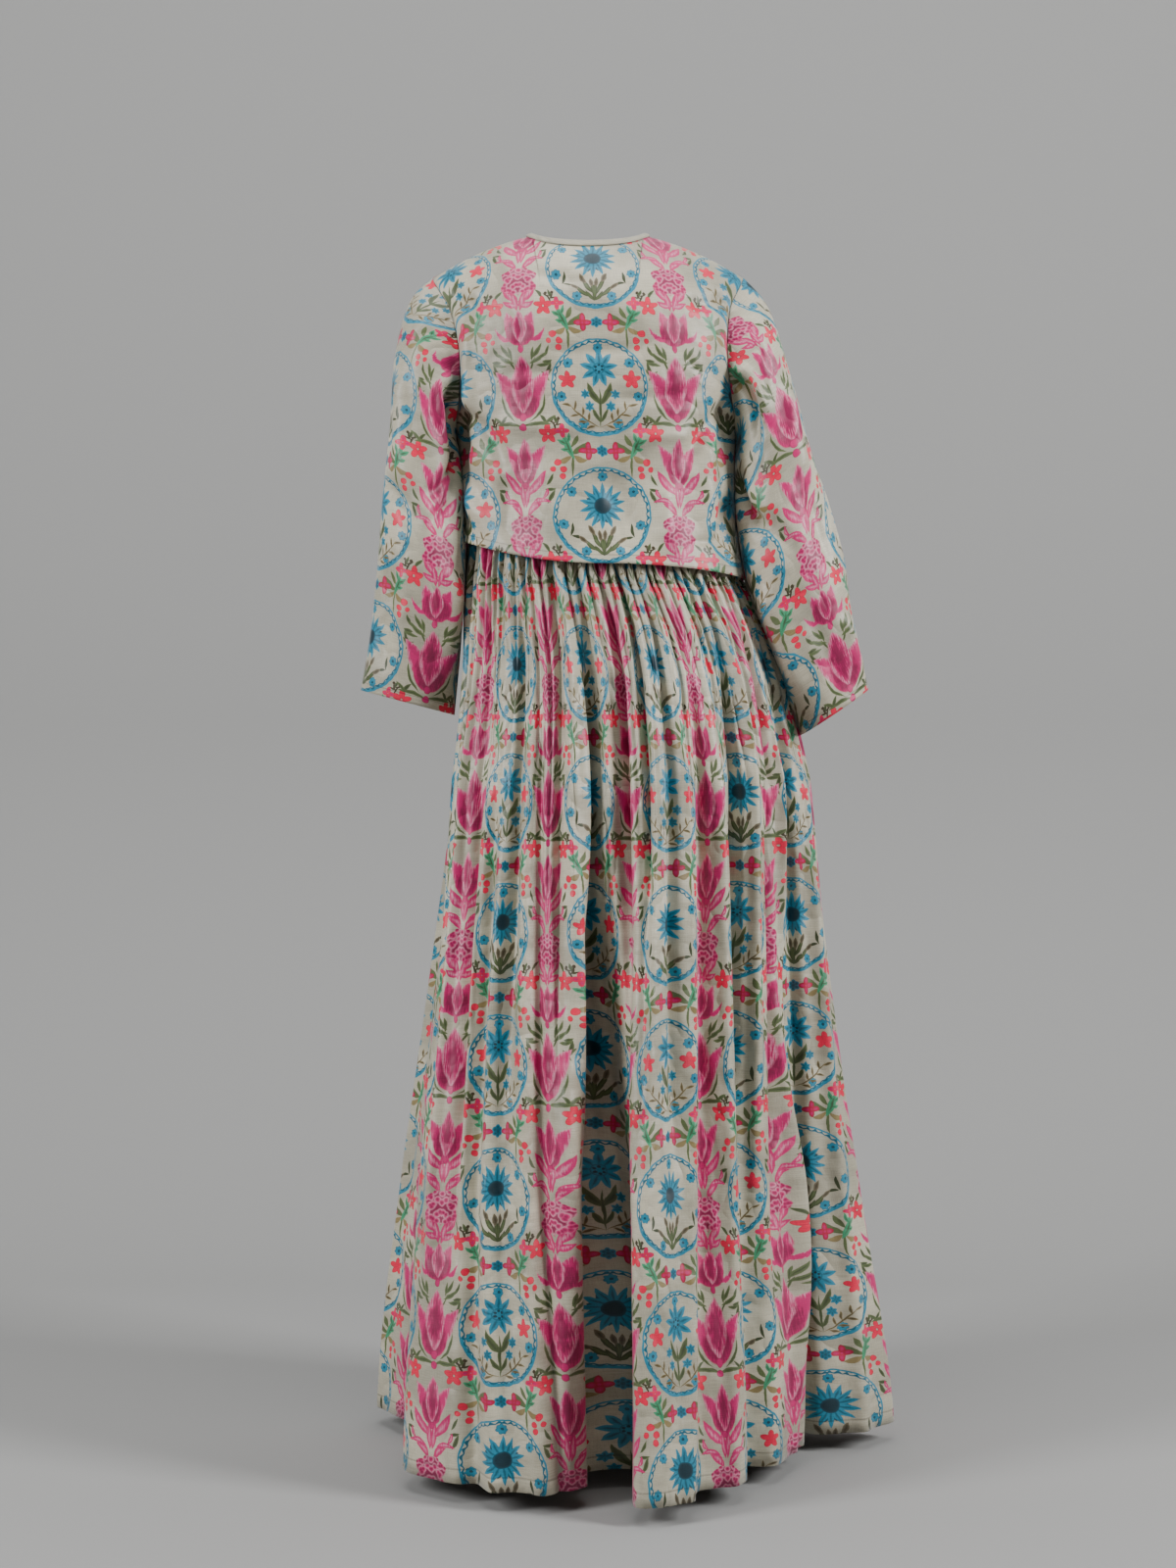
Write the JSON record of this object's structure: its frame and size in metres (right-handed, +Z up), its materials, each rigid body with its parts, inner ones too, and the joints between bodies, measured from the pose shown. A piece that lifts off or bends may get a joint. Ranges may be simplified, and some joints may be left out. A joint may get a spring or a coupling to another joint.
{
  "type": "anarkali gown",
  "caption": "Floor-length anarkali gown in floral printed silk, hollow as worn: loose cropped bodice, bracelet sleeves and a full gathered skirt.",
  "frame": {"origin": "middle of the neck opening at the height of the shoulder seams' inner ends, where the wearer's shoulders hold the gown up", "axes": "+Z up, the garment's front faces -Y and its back +Y, +X is the wearer's left"},
  "size_m": [0.6516, 0.5748, 1.4498],
  "materials": {
    "printed_silk": "satin",
    "binding_silk": "satin"
  },
  "bodies": {
    "root": {"bodice_back": "printed_silk", "bodice_front": "printed_silk", "sleeve_left": "printed_silk", "sleeve_right": "printed_silk", "neck_binding": "binding_silk", "skirt_back": "printed_silk", "skirt_front": "printed_silk"}
  },
  "joints": []
}
